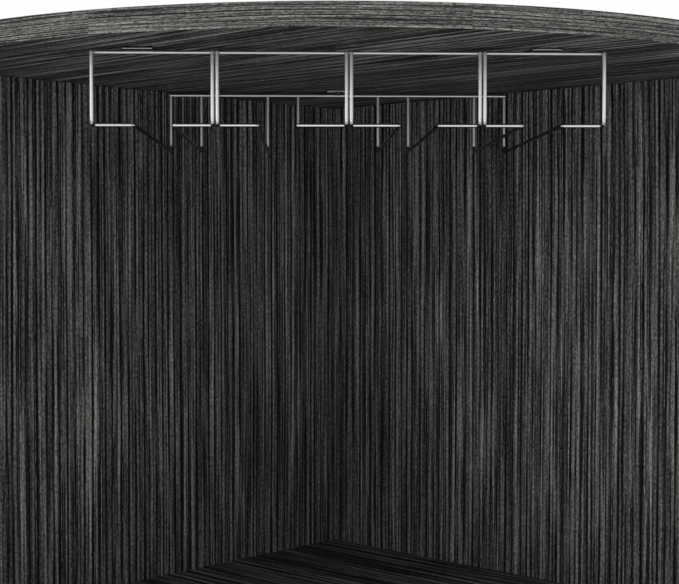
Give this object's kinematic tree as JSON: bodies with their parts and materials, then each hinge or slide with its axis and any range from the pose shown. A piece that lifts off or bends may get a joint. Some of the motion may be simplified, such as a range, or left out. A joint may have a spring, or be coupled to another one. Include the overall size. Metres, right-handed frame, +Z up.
{
  "type": "corner bar cabinet",
  "caption": "Tall corner bar cabinet with round-fronted top, shelf and counter, a wire stemware rack, bottle cubbies and a two-door base.",
  "frame": {"origin": "on the floor, under the middle of the cabinet's box", "axes": "+Z up; the round front and the doors face -Y; +X is to the right of someone facing the cabinet; the inner corner is on +Y, and X = 0 is the plane midway between the walls"},
  "size_m": [0.8026, 0.6248, 1.8],
  "materials": {
    "dark_oak_board": "satin striped dark oak grain",
    "chrome": "bright chrome plate",
    "zinc_steel": "zinc plate",
    "black_plastic": "matt"
  },
  "bodies": {
    "carcass": {"top_panel": "dark_oak_board", "left_back_panel": "dark_oak_board", "right_back_panel": "dark_oak_board", "display_shelf": "dark_oak_board", "counter_panel": "dark_oak_board", "left_end_panel": "dark_oak_board", "right_end_panel": "dark_oak_board", "base_panel": "dark_oak_board", "plinth_board": "dark_oak_board", "cubby_floor": "dark_oak_board", "cubby_cross_shelf": "dark_oak_board", "cubby_divider_left": "dark_oak_board", "cubby_divider_centre": "dark_oak_board", "cubby_divider_right": "dark_oak_board", "adjustable_shelf": "dark_oak_board", "shelf_pin_left_wall": "zinc_steel", "shelf_pin_left_end": "zinc_steel", "shelf_pin_right_wall": "zinc_steel", "shelf_pin_right_end": "zinc_steel", "left_lower_hinge_frame_leaf": "zinc_steel", "left_upper_hinge_frame_leaf": "zinc_steel", "right_lower_hinge_frame_leaf": "zinc_steel", "right_upper_hinge_frame_leaf": "zinc_steel", "left_lower_hinge_pin": "zinc_steel", "left_upper_hinge_pin": "zinc_steel", "right_lower_hinge_pin": "zinc_steel", "right_upper_hinge_pin": "zinc_steel", "magnetic_catch": "black_plastic", "glide_corner": "black_plastic", "glide_left_wall": "black_plastic", "glide_left_end": "black_plastic", "glide_right_wall": "black_plastic", "glide_right_end": "black_plastic", "rack_front_bar": "chrome", "rack_rear_bar": "chrome", "rack_rail_left_1": "chrome", "rack_rail_left_2": "chrome", "rack_rail_left_3": "chrome", "rack_rail_left_4": "chrome", "rack_rail_right_1": "chrome", "rack_rail_right_2": "chrome", "rack_rail_right_3": "chrome", "rack_rail_right_4": "chrome", "rack_tab_left": "chrome", "rack_tab_rear": "chrome", "rack_tab_right": "chrome", "rack_screw_left": "zinc_steel", "rack_screw_rear": "zinc_steel", "rack_screw_right": "zinc_steel"},
    "left_door": {"left_door": "dark_oak_board", "left_handle": "chrome", "left_strike_plate": "zinc_steel", "left_lower_hinge_door_leaf": "zinc_steel", "left_upper_hinge_door_leaf": "zinc_steel"},
    "right_door": {"right_door": "dark_oak_board", "right_handle": "chrome", "right_strike_plate": "zinc_steel", "right_lower_hinge_door_leaf": "zinc_steel", "right_upper_hinge_door_leaf": "zinc_steel"}
  },
  "joints": [
    {"name": "left_door_hinge", "type": "hinge", "parent": "carcass", "child": "left_door", "pos_m": [-0.30747, -0.1596, 0.344], "axis": [0, 0, -1], "range_deg": [0, 110]},
    {"name": "right_door_hinge", "type": "hinge", "parent": "carcass", "child": "right_door", "pos_m": [0.30747, -0.1596, 0.344], "axis": [0, 0, 1], "range_deg": [0, 110]}
  ]
}
